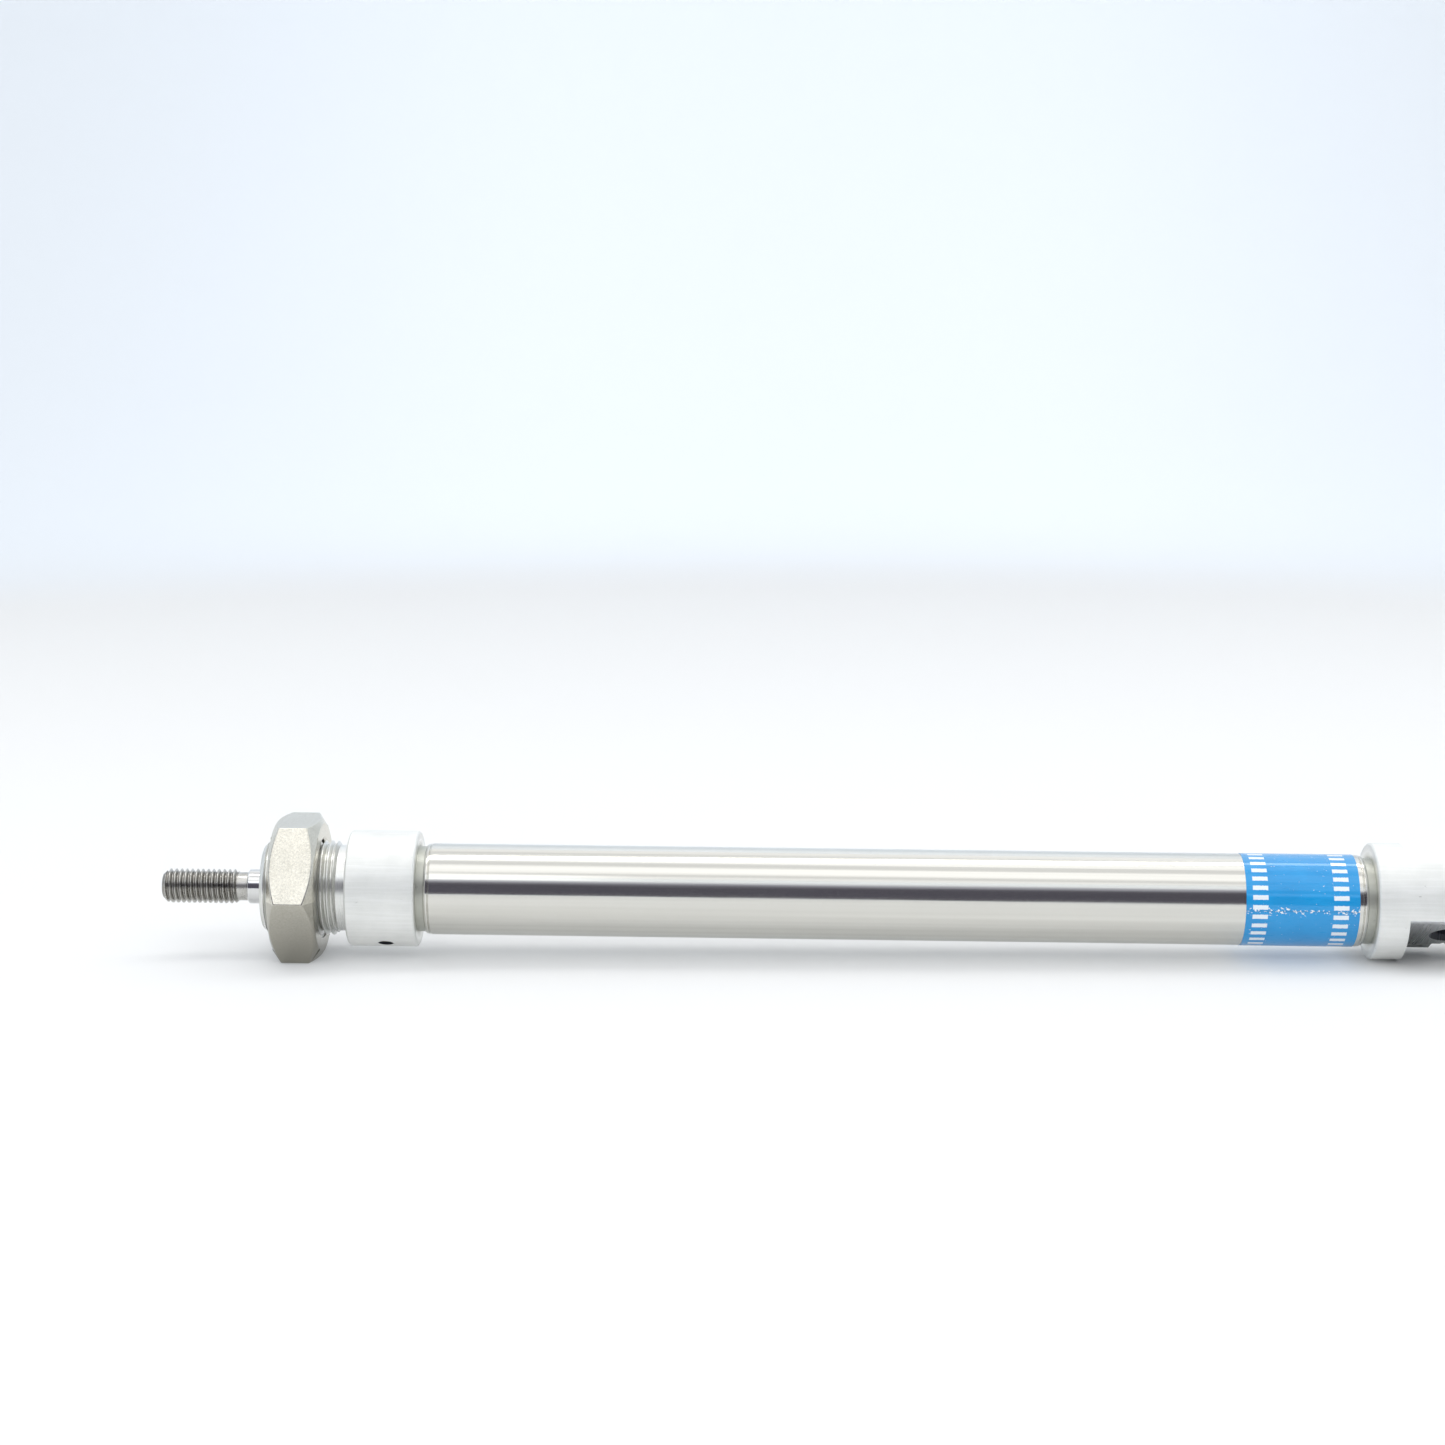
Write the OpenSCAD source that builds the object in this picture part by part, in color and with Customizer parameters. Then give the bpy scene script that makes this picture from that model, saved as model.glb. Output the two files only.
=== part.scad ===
// Round double-acting pneumatic cylinder, 20 mm bore, with crimped end caps and adjustable end cushions.
// +X runs along the axis from the rod end to the rear eye. The origin is the centre of the front mounting
// face, +Z is up and the cylinder lies on a flat of its mounting nut.

/* [Overall] */
// Stroke of the rod
stroke = 185; // [40:5:320]
// Direction in which the cross pin of the rear eye points, in degrees above the horizontal
pin_elevation = -60; // [-90:30:90]

/* [Tube] */
// Bore of the tube
bore_d = 20; // [19.8:0.1:20.4]
// Wall of the tube
tube_wall = 0.65; // [0.5:0.05:0.8]
// Depth of the rolled groove that holds each cap
crimp_depth = 0.4; // [0.2:0.05:0.5]
// Distance from a cap's inner face to the middle of the rolled groove
crimp_setback = 2.75; // [2.7:0.05:2.9]

/* [Caps] */
// Diameter of the cap bodies
cap_d = 27; // [26:0.5:30]
// Length of the cap bodies
cap_len = 16; // [15.5:0.5:17]
// Chamfer on the front edge of the bearing cap
cap_chamfer = 0.4; // [0.2:0.1:1.8]
// Small edge break on the other cap edges
edge_break = 0.4; // [0.2:0.1:0.6]
// Diameter of the neck between a cap and the tube
neck_d = 19.9; // [19.5:0.1:19.9]
// Length of that neck
neck_len = 1.8; // [1.5:0.1:2]
// Outer diameter of the mounting threads
cap_thread_d = 22; // [21.5:0.1:22.5]
// Length of the front mounting thread
cap_thread_len = 20; // [19:0.5:22]
// Width of the relief between the front thread and the mounting face
relief_w = 2.4; // [2.1:0.1:3]
// Diameter of that relief
relief_d = 20; // [19.6:0.1:20.2]

/* [Ports and cushion screws] */
// Core diameter of the port threads
port_d = 8.7; // [8.5:0.05:8.8]
// Distance from a cap's outer shoulder to the port's axis
port_setback = 8.2; // [8:0.1:8.6]
// Diameter of the cushion screw holes
screw_hole_d = 3.4; // [3.2:0.1:3.6]
// Distance from the mounting face to the front cushion screw
front_screw_x = 8.8; // [8:0.1:9.5]
// Distance from the end cap's inner face to the rear cushion screw
rear_screw_setback = 3.5; // [3:0.1:4]

/* [Rear eye] */
// Width across the flats of the eye
eye_w = 16; // [15:0.5:17]
// Diameter of the cross pin hole
pin_d = 8; // [7:0.5:8.5]
// Countersink at each mouth of the pin hole
pin_countersink = 1.3; // [0.5:0.1:1.4]
// Distance from the end cap's outer shoulder to the pin's axis
pin_setback = 3; // [2.5:0.5:4]
// Distance from the start of the flats to the pin's axis
flat_reach = 12; // [11:0.5:12]
// Distance from the pin's axis to the end of the eye
eye_reach = 14; // [10:0.5:18]

/* [Rod] */
// Diameter of the rod and of its end thread
rod_d = 8; // [7.8:0.1:8.2]
// Distance from the mounting face to the shoulder of the rod's thread, with the rod in
rod_reach = 24; // [22:0.5:27]
// Length of the rod's end thread
rod_thread_len = 20; // [16:1:24]
// Chamfer at the rod's tip
rod_tip_chamfer = 1.2; // [0.8:0.1:1.5]
// Length of the undercut behind the rod's thread
undercut_w = 2.3; // [1.5:0.1:3]
// Diameter of that undercut
undercut_d = 6.6; // [6.2:0.1:6.8]

/* [Mounting nut] */
// Width across the nut's flats
nut_af = 32; // [30:0.5:34]
// Thickness of the nut
nut_h = 11; // [8:0.5:12]
// Gap between the nut and the mounting face
nut_gap = 6.5; // [4:0.5:7.5]
// Slope of the nut's corner chamfers
nut_chamfer_angle = 33; // [30:1:45]
// Diameter of the nut's flat end faces
nut_face_d = 30; // [28:0.2:30.4]

/* [Piston and cushions] */
// Length of the piston
piston_len = 18; // [18:0.5:22]
// Diameter of the cushion spears
spear_d = 9; // [8.8:0.1:9.2]
// Length of the cushion spears
spear_len = 12; // [9:0.5:12]
// Height that each end pad stands proud of its cap
pad_proud = 1; // [0.8:0.1:1.5]

/* [Label] */
// Width of the label along the tube
label_w = 26; // [15:1:40]
// Thickness of the label's film
label_t = 0.1; // [0.08:0.02:0.2]
// Distance from the label to the end cap's inner face
label_setback = 4; // [4:0.1:10]

/* [Fits] */
// Radial clearance of the fits that slide or turn
run_fit = 0.04; // [0.02:0.01:0.06]
// Radial gap between pieces that sit still in each other
seat_gap = 0.02; // [0.01:0.005:0.03]

/* [Hidden] */
$fn = 96;

over = 0.5; // how far a cutting tool runs past the surface that it cuts

// Radii that several pieces share
bore_r = bore_d / 2;
tube_r = bore_r + tube_wall;
cap_r = cap_d / 2;
rod_r = rod_d / 2;
spigot_r = bore_r - seat_gap;
pocket_r = spear_d / 2 + 0.5; // cushion pocket, which also holds the guide bush
seal_pocket_r = rod_r + 2.6; // front pocket for the wiper and the rod seal
spear_r = spear_d / 2;
stub_r = 3; // reduced end of the rod, which carries the piston

// Stations along the axis
spigot_len = 8;
front_inner_x = cap_len;
rear_inner_x = front_inner_x + 2 * spigot_len + 2 * pad_proud + piston_len + stroke;
rear_outer_x = rear_inner_x + cap_len;
pin_x = rear_outer_x + pin_setback;
flat_x = pin_x - flat_reach;
eye_end_x = pin_x + eye_reach;
piston_rear_x = rear_inner_x - spigot_len - pad_proud;
piston_front_x = piston_rear_x - piston_len;
rod_tip_x = -rod_reach - rod_thread_len;

// Directions around the axis
port_elevation = pin_elevation - 90;
front_screw_elevation = pin_elevation;
rear_screw_elevation = pin_elevation + 180;

// Seal pockets of the bearing cap
wiper_len = 3.3;
seal_len = 4.4;
wiper_x = -cap_thread_len + 0.3;
rod_seal_x = wiper_x + wiper_len + 0.6;
bush_x = rod_seal_x + seal_len + 0.4;
bush_end_x = 4.6;

// Grooves in each cap's spigot, measured from the cap's inner face towards the tube
oring_groove = [4.4, 6.4];
oring_groove_r = 8.5;
cushion_groove = [4.6, 6.8];
cushion_groove_r = pocket_r + 1.6;
pad_recess = 0.6;
pad_inner_r = pocket_r + 0.3;
pad_outer_r = pocket_r + 1.9;

// Cushion bypass: a drilling along the spigot that meets the screw hole
bypass_r = 7.5;
bypass_d = 1;
needle_seat_d = 1.4;
screw_floor_r = 7.2;
screw_head_r = cap_r - 0.9;

// Piston
seal_groove_w = 2.6;
seal_groove_setback = 1.6;
seal_groove_r = 7.2;
piston_r = bore_r - 0.3;
hub_r = 6.4;
magnet_r = 8.4;
band_w = 5.2; // space for the magnet and the guide ring between the two flanges
half_flange = (piston_len - band_w) / 2;

// Puts a profile of [radius, x] points around the cylinder's axis
module turned(profile) {
    rotate([0, 90, 0]) rotate_extrude() polygon(profile);
}

// A plain round along the axis from x0 to x1
module round_bar(r, x0, x1) {
    translate([x0, 0, 0]) rotate([0, 90, 0]) cylinder(r = r, h = x1 - x0);
}

// A ring of rectangular section around the axis
module collar(inner_r, outer_r, x0, x1) {
    turned([[inner_r, x0], [outer_r, x0], [outer_r, x1], [inner_r, x1]]);
}

// An O-ring that fills the space between two radii
module oring(inner_r, outer_r, x) {
    translate([x, 0, 0]) rotate([0, 90, 0]) rotate_extrude()
        translate([(inner_r + outer_r) / 2, 0]) circle(d = outer_r - inner_r);
}

// Turns +Z of its children outwards, in a direction across the axis at station x
module across(x, elevation) {
    translate([x, 0, 0]) rotate([90 - elevation, 0, 0]) children();
}

// Places what is drawn for the front cap, with its inner face at 0 and +X into the tube
module at_front_cap() {
    translate([front_inner_x, 0, 0]) children();
}

// The same for the end cap, facing the other way
module at_rear_cap() {
    translate([rear_inner_x, 0, 0]) mirror([1, 0, 0]) children();
}

// Turned outside of a cap from its inner face to the end of its spigot
function spigot_profile() = [
    [neck_d / 2, 0], [neck_d / 2, neck_len], [spigot_r, neck_len],
    [spigot_r, crimp_setback - crimp_depth], [spigot_r - crimp_depth, crimp_setback - 0.15],
    [spigot_r - crimp_depth, crimp_setback + 0.15], [spigot_r, crimp_setback + crimp_depth],
    [spigot_r, oring_groove[0]], [oring_groove_r, oring_groove[0]],
    [oring_groove_r, oring_groove[1]], [spigot_r, oring_groove[1]],
    [spigot_r, spigot_len - 0.4], [spigot_r - 0.4, spigot_len],
];

// What both caps have hollowed out on the tube's side: cushion pocket, seal groove, pad recess and bypass
module spigot_cuts(pocket_depth, screw_elevation, screw_depth) {
    round_bar(pocket_r, -pocket_depth, spigot_len + over);
    collar(pocket_r - over, cushion_groove_r, cushion_groove[0], cushion_groove[1]);
    collar(pocket_r - over, pad_outer_r + seat_gap, spigot_len - pad_recess, spigot_len + over);
    across(0, screw_elevation) translate([-screw_depth, 0, bypass_r]) rotate([0, 90, 0])
        cylinder(d = bypass_d, h = spigot_len + screw_depth + over);
}

// A port: its threaded hole at core diameter, a countersunk mouth and a passage to the cushion pocket
module port_cut(x) {
    passage_d = 5;
    thread_floor_r = 7.4;
    mouth_r = cap_r - 0.6;
    across(x, port_elevation) {
        translate([0, 0, thread_floor_r]) cylinder(d = port_d, h = cap_r);
        translate([0, 0, pocket_r - over]) cylinder(d = passage_d, h = cap_r / 2);
        translate([0, 0, mouth_r]) cylinder(d1 = port_d, d2 = port_d + 2.4, h = 1.2);
    }
}

// The hole and needle seat of a cushion screw
module screw_cut(x, elevation) {
    across(x, elevation) {
        translate([0, 0, screw_floor_r]) cylinder(d = screw_hole_d, h = cap_r);
        translate([0, 0, pocket_r - over]) cylinder(d = needle_seat_d, h = cap_r / 2);
    }
}

module bearing_cap() {
    thread_r = cap_thread_d / 2;
    lead_in = 1.2;
    outside = concat(
        [[0, -cap_thread_len], [thread_r - lead_in, -cap_thread_len], [thread_r, lead_in - cap_thread_len],
         [thread_r, -relief_w - 0.8], [relief_d / 2, -relief_w], [relief_d / 2, 0],
         [cap_r - cap_chamfer, 0], [cap_r, cap_chamfer], [cap_r, cap_len - edge_break],
         [cap_r - edge_break, cap_len]],
        [for (p = spigot_profile()) [p[0], p[1] + front_inner_x]],
        [[0, front_inner_x + spigot_len]]
    );
    color("gainsboro") difference() {
        turned(outside);
        round_bar(seal_pocket_r, -cap_thread_len - over, bush_x);
        at_front_cap() spigot_cuts(cap_len - bush_x + over, front_screw_elevation, cap_len - front_screw_x);
        port_cut(port_setback);
        screw_cut(front_screw_x, front_screw_elevation);
    }
}

module end_cap() {
    thread_r = cap_thread_d / 2;
    lead_in = 1.5;
    pocket_depth = 11;
    flat_cut = cap_r - eye_w / 2 + over;
    outside = concat(
        [[0, rear_inner_x - spigot_len]],
        [for (i = [len(spigot_profile()) - 1 : -1 : 0])
            [spigot_profile()[i][0], rear_inner_x - spigot_profile()[i][1]]],
        [[cap_r - edge_break, rear_inner_x], [cap_r, rear_inner_x + edge_break], [cap_r, rear_outer_x],
         [thread_r, rear_outer_x], [thread_r, eye_end_x - lead_in], [thread_r - lead_in, eye_end_x],
         [0, eye_end_x]]
    );
    color("gainsboro") difference() {
        turned(outside);
        at_rear_cap() spigot_cuts(pocket_depth, rear_screw_elevation, rear_screw_setback);
        port_cut(rear_outer_x - port_setback);
        screw_cut(rear_inner_x + rear_screw_setback, rear_screw_elevation);
        for (side = [0, 180]) across(0, pin_elevation + side) {
            translate([flat_x, -cap_r, eye_w / 2]) cube([eye_end_x - flat_x + over, cap_d, flat_cut]);
            translate([pin_x, 0, 0]) cylinder(d = pin_d, h = cap_r);
            translate([pin_x, 0, eye_w / 2 - pin_countersink])
                cylinder(d1 = pin_d, d2 = pin_d + 4 * pin_countersink, h = 2 * pin_countersink);
        }
    }
}

module cylinder_tube() {
    x0 = front_inner_x + neck_len;
    x1 = rear_inner_x - neck_len;
    groove = crimp_setback - neck_len; // middle of the rolled groove, from the tube's end
    rolled = 0.25; // rounding of the tube's rolled ends
    // distance from the tube's end and depth below the tube's own radius, along one end
    outer = [[0, rolled], [rolled, 0], [groove - crimp_depth, 0], [groove - 0.1, crimp_depth],
             [groove + 0.1, crimp_depth], [groove + crimp_depth, 0]];
    inner = [[0, 0], [groove - crimp_depth, 0], [groove - 0.1, crimp_depth - 0.05],
             [groove + 0.1, crimp_depth - 0.05], [groove + crimp_depth, 0]];
    last_o = len(outer) - 1;
    last_i = len(inner) - 1;
    color("silver") turned(concat(
        [for (p = outer) [tube_r - p[1], x0 + p[0]]],
        [for (i = [last_o : -1 : 0]) [tube_r - outer[i][1], x1 - outer[i][0]]],
        [for (p = inner) [bore_r - p[1], x1 - p[0]]],
        [for (i = [last_i : -1 : 0]) [bore_r - inner[i][1], x0 + inner[i][0]]]
    ));
}

module label() {
    x1 = rear_inner_x - label_setback;
    glue = 0.01;
    color("dodgerblue") collar(tube_r + glue, tube_r + glue + label_t, x1 - label_w, x1);
}

// Hexagon of the given width across flats, with a flat facing down
module hexagon(width) {
    rotate(30) circle(d = width / cos(30), $fn = 6);
}

module mounting_nut() {
    corner_r = nut_af / 2 / cos(30);
    face_r = nut_face_d / 2;
    slope = (corner_r + over - face_r) * tan(nut_chamfer_angle);
    x1 = -nut_gap;
    x0 = x1 - nut_h;
    thread_r = cap_thread_d / 2 + run_fit;
    mouth = 0.8;
    color("rosybrown") difference() {
        intersection() {
            translate([x0, 0, 0]) rotate([0, 90, 0]) linear_extrude(nut_h) hexagon(nut_af);
            turned([[0, x0], [face_r, x0], [corner_r + over, x0 + slope],
                    [corner_r + over, x1 - slope], [face_r, x1], [0, x1]]);
        }
        turned([[0, x0 - over], [thread_r + mouth + over, x0 - over], [thread_r, x0 + mouth],
                [thread_r, x1 - mouth], [thread_r + mouth + over, x1 + over], [0, x1 + over]]);
    }
}

// Wiper with its scraping lip at the front
module rod_wiper() {
    inner_r = rod_r + run_fit;
    outer_r = seal_pocket_r - seat_gap;
    color("dimgray") turned([
        [inner_r, wiper_x], [inner_r + 0.5, wiper_x + 1.2], [inner_r + 0.6, wiper_x + wiper_len],
        [outer_r, wiper_x + wiper_len], [outer_r, wiper_x + 0.6], [outer_r - 0.5, wiper_x + 0.5],
        [inner_r + 0.9, wiper_x + 0.5], [inner_r + 0.2, wiper_x - 0.1],
    ]);
}

// Cup seal with its open side towards the pressure
module rod_seal() {
    inner_r = rod_r + run_fit;
    outer_r = seal_pocket_r - seat_gap;
    middle_r = (inner_r + outer_r) / 2;
    end_x = rod_seal_x + seal_len;
    color("darkslategray") turned([
        [inner_r + 0.3, rod_seal_x], [outer_r, rod_seal_x], [outer_r, end_x - 0.2], [outer_r - 0.4, end_x],
        [middle_r, end_x - 1.8], [inner_r + 0.4, end_x], [inner_r, end_x - 0.5], [inner_r + 0.3, end_x - 1.6],
    ]);
}

module guide_bush() {
    color("peru") collar(rod_r + run_fit, pocket_r - seat_gap, bush_x, bush_end_x);
}

module tube_oring() {
    oring(oring_groove_r + seat_gap, bore_r - seat_gap, (oring_groove[0] + oring_groove[1]) / 2);
}

// Lip seal that closes on the cushion spear
module cushion_seal() {
    inner_r = spear_r + run_fit;
    outer_r = cushion_groove_r - seat_gap;
    x0 = cushion_groove[0] + 0.1;
    x1 = cushion_groove[1] - 0.1;
    turned([[inner_r + 0.3, x0], [outer_r, x0], [outer_r, x1], [inner_r + 0.8, x1], [inner_r, x1 - 0.3],
            [inner_r, x1 - 0.9]]);
}

module end_pad() {
    contact_gap = 0.02;
    collar(pad_inner_r, pad_outer_r, spigot_len - pad_recess, spigot_len + pad_proud - contact_gap);
}

module front_tube_oring() { color("black") at_front_cap() tube_oring(); }
module rear_tube_oring() { color("black") at_rear_cap() tube_oring(); }
module front_cushion_seal() { color("darkslategray") at_front_cap() cushion_seal(); }
module rear_cushion_seal() { color("darkslategray") at_rear_cap() cushion_seal(); }
module front_end_pad() { color("darkkhaki") at_front_cap() end_pad(); }
module rear_end_pad() { color("darkkhaki") at_rear_cap() end_pad(); }

// Cushion screw along +Z: needle, collar groove for its O-ring, and a hexagon socket in its outer end
screw_groove = [8.7, 9.6];
screw_groove_r = 0.95;
module cushion_screw() {
    r = screw_hole_d / 2 - run_fit;
    socket_af = 1.5;
    socket_depth = 1.2;
    difference() {
        rotate_extrude() polygon([
            [0, 6.2], [0.3, 6.2], [0.6, 7.4], [0.6, 7.9], [r, 8.1], [r, screw_groove[0]],
            [screw_groove_r, screw_groove[0]], [screw_groove_r, screw_groove[1]], [r, screw_groove[1]],
            [r, screw_head_r - 0.2], [r - 0.2, screw_head_r], [0, screw_head_r],
        ]);
        translate([0, 0, screw_head_r - socket_depth]) linear_extrude(socket_depth + over) hexagon(socket_af);
    }
}

module screw_oring() {
    inner_r = screw_groove_r + seat_gap;
    outer_r = screw_hole_d / 2 - run_fit;
    translate([0, 0, (screw_groove[0] + screw_groove[1]) / 2]) rotate_extrude()
        translate([(inner_r + outer_r) / 2, 0]) circle(d = outer_r - inner_r);
}

module at_front_screw() { across(front_screw_x, front_screw_elevation) children(); }
module at_rear_screw() { across(rear_inner_x + rear_screw_setback, rear_screw_elevation) children(); }
module front_cushion_screw() { color("goldenrod") at_front_screw() cushion_screw(); }
module rear_cushion_screw() { color("goldenrod") at_rear_screw() cushion_screw(); }
module front_screw_oring() { color("black") at_front_screw() screw_oring(); }
module rear_screw_oring() { color("black") at_rear_screw() screw_oring(); }

module piston_rod() {
    shoulder_x = -rod_reach;
    step_x = piston_front_x - spear_len; // where the rod steps down to the piston's stub
    stub_end_x = piston_rear_x + spear_len - 2.5;
    undercut_x = shoulder_x - undercut_w;
    slope = rod_r - undercut_d / 2;
    color("lightgray") turned([
        [0, rod_tip_x], [rod_r - rod_tip_chamfer, rod_tip_x], [rod_r, rod_tip_x + rod_tip_chamfer],
        [rod_r, undercut_x - slope], [undercut_d / 2, undercut_x], [undercut_d / 2, shoulder_x],
        [rod_r - 0.3, shoulder_x], [rod_r, shoulder_x + 0.3], [rod_r, step_x], [stub_r, step_x],
        [stub_r, stub_end_x], [0, stub_end_x],
    ]);
}

// Sleeve that closes the front cushion, clamped between the rod's step and the piston
module front_cushion_spear() {
    x1 = piston_front_x;
    x0 = x1 - spear_len;
    nose = 1;
    color("lightsteelblue") turned([
        [stub_r + seat_gap, x0], [spear_r - nose / 2, x0], [spear_r, x0 + 2 * nose], [spear_r, x1],
        [stub_r + seat_gap, x1],
    ]);
}

// Closed sleeve screwed on the stub: it clamps the piston and closes the rear cushion
module rear_cushion_spear() {
    x0 = piston_rear_x;
    x1 = x0 + spear_len;
    nose = 1;
    slot_w = 1.2;
    slot_depth = 1.4;
    bottom = 2.2; // thickness of the closed end
    color("lightsteelblue") difference() {
        turned([[0, x0], [spear_r, x0], [spear_r, x1 - 2 * nose], [spear_r - nose / 2, x1], [0, x1]]);
        round_bar(stub_r + seat_gap, x0 - over, x1 - bottom);
        translate([x1 - slot_depth, -slot_w / 2, -spear_r]) cube([slot_depth + over, slot_w, spear_d]);
    }
}

// One half of the piston, from its end face at 0 to the middle of the piston
function half_profile() = [
    [stub_r + seat_gap, 0], [piston_r - 0.4, 0], [piston_r, 0.4], [piston_r, seal_groove_setback],
    [seal_groove_r, seal_groove_setback], [seal_groove_r, seal_groove_setback + seal_groove_w],
    [piston_r, seal_groove_setback + seal_groove_w], [piston_r, half_flange], [hub_r, half_flange],
    [hub_r, piston_len / 2], [stub_r + seat_gap, piston_len / 2],
];

rod_oring_x = 3; // groove for the O-ring between the stub and the front half
rod_oring_r = stub_r + 1.1;

module front_piston_half() {
    groove_w = 1.4;
    color("whitesmoke") translate([piston_front_x, 0, 0]) difference() {
        turned(half_profile());
        collar(stub_r - over, rod_oring_r, rod_oring_x - groove_w / 2, rod_oring_x + groove_w / 2);
    }
}

module rear_piston_half() {
    color("whitesmoke") translate([piston_rear_x, 0, 0]) mirror([1, 0, 0]) turned(half_profile());
}

module magnet_ring() {
    side_gap = 0.1;
    x0 = piston_front_x + half_flange;
    color("slategray") collar(hub_r + seat_gap, magnet_r, x0 + side_gap, x0 + band_w - side_gap);
}

module piston_oring() {
    color("black") oring(stub_r + seat_gap, rod_oring_r - seat_gap, piston_front_x + rod_oring_x);
}

// Band that carries the piston in the bore
module guide_ring() {
    side_gap = 0.1;
    x0 = piston_front_x + half_flange;
    color("ivory") collar(magnet_r + run_fit, bore_r - run_fit, x0 + side_gap, x0 + band_w - side_gap);
}

// Cup seal of the piston, from the groove's outer side at 0, open towards the pressure
module piston_seal() {
    inner_r = seal_groove_r + run_fit;
    outer_r = bore_r - run_fit;
    middle_r = (inner_r + outer_r) / 2;
    w = seal_groove_w - 0.2;
    turned([[inner_r, 0.2], [inner_r + 0.5, 0], [middle_r, 1.3], [outer_r - 0.5, 0], [outer_r, 0.4],
            [outer_r - 0.4, 1.5], [outer_r - 0.5, w], [inner_r, w]]);
}

seal_side_gap = 0.1;
module front_piston_seal() {
    color("darkslategray") translate([piston_front_x + seal_groove_setback + seal_side_gap, 0, 0]) piston_seal();
}

module rear_piston_seal() {
    color("darkslategray") translate([piston_rear_x - seal_groove_setback - seal_side_gap, 0, 0])
        mirror([1, 0, 0]) piston_seal();
}

bearing_cap();
end_cap();
cylinder_tube();
label();
mounting_nut();
rod_wiper();
rod_seal();
guide_bush();
front_tube_oring();
rear_tube_oring();
front_cushion_seal();
rear_cushion_seal();
front_end_pad();
rear_end_pad();
front_cushion_screw();
front_screw_oring();
rear_cushion_screw();
rear_screw_oring();
piston_rod();
front_cushion_spear();
rear_cushion_spear();
front_piston_half();
rear_piston_half();
magnet_ring();
piston_oring();
guide_ring();
front_piston_seal();
rear_piston_seal();
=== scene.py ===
"""Looks of a round pneumatic cylinder: turned and threaded metal pieces, a polished tube and a film label.

The six outer pieces are made again here with their threads and rolled edges. The others keep their CAD shape.
"""

import math

import bmesh
import bpy
import numpy as np
from mathutils import Matrix, Vector

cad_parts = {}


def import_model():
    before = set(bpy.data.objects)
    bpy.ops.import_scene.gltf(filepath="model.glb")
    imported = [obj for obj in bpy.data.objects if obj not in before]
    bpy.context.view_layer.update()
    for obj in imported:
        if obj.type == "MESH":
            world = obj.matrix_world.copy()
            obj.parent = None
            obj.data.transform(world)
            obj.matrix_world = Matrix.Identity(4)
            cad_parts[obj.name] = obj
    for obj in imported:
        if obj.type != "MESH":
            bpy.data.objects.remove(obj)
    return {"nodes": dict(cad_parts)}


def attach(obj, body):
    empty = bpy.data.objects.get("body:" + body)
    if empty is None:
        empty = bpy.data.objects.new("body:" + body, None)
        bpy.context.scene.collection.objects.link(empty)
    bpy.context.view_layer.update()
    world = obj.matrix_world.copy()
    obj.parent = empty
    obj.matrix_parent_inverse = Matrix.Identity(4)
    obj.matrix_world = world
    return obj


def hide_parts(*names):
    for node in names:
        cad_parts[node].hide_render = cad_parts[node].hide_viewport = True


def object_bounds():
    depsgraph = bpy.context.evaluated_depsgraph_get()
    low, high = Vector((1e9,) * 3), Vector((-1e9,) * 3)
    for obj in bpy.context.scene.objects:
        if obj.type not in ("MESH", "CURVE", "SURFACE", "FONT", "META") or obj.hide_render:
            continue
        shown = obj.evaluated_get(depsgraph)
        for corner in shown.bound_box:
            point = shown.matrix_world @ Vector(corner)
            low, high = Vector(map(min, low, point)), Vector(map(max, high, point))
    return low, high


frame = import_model()
cad_low, cad_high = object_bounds()
nodes = frame["nodes"]

# ---------------------------------------------------------------- sizes, in millimetres
MM = 0.001
AROUND = 192  # facets around a turned piece
WELD = 0.003  # points closer than this become one
THREAD_FLANK = 30  # half a thread's angle, in degrees

# Stations along the axis, from the front cap's mounting face towards the rear
NECK_END_X = -20.0
RELIEF_X = -2.4
FRONT_FACE_X = 16.0
REAR_FACE_X = 237.0
REAR_SHOULDER_X = 253.0
REAR_THREAD_X = REAR_SHOULDER_X + 1.9
EYE_END_X = 270.0
FLAT_X = 244.0
PIN_X = 256.0
FRONT_SCREW_X = 8.8
REAR_SCREW_X = REAR_FACE_X + 3.5
LABEL_X = (207.0, 233.0)
ROD_TIP_X = -44.0
ROD_UNDERCUT_X = -26.3
ROD_SHOULDER_X = -24.0

# Caps
CAP_R = 13.5
CAP_EDGE = 0.4  # the chamfer of both caps' edges
THREAD_R = 11.0
THREAD_ROOT_R = 10.08
THREAD_PITCH = 1.5
RELIEF_R = 10.0
FLAT_HALF = 8.0  # half the eye's thickness
PIN_R = 4.0
PIN_SINK = 1.3  # how deep the pin hole's mouths are countersunk
POCKET_R = 5.0
SEAL_POCKET_R = 6.6
PORT_SETBACK = 8.2  # from a cap's outer end to its port
PORT_FLOOR_R = 7.4
PORT_CORE_R = 4.35
PORT_CREST_R = 4.8
PORT_PITCH = 0.907
PASSAGE_R = 2.5
SCREW_R = 1.7
SCREW_FLOOR_R = 7.0
NEEDLE_SEAT_R = 0.7
BYPASS_R = 0.5
BYPASS_OUT = 7.5  # from the cylinder's axis to the bypass drilling

# The spigot that a cap reaches into the tube with. Distances are from the cap's inner face.
SPIGOT_LEN = 8.0
SPIGOT_R = 9.98
NECK_LEN = 1.8
NECK_R = 9.95
CRIMP = 2.75  # the middle of the rolled groove
CRIMP_DEPTH = 0.4
ORING_GROOVE, ORING_GROOVE_R = (4.4, 6.4), 8.5
CUSHION_GROOVE, CUSHION_GROOVE_R = (4.6, 6.8), 6.6
PAD_RECESS, PAD_R = 0.6, 6.92

# Tube, rod and nut
TUBE_R = 10.65
BORE_R = 10.0
ROD_R = 4.0
ROD_ROOT_R = 3.3
ROD_PITCH = 1.25
NUT_X = (-17.5, -6.5)
NUT_HALF = 16.0  # half its width across the flats

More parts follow.
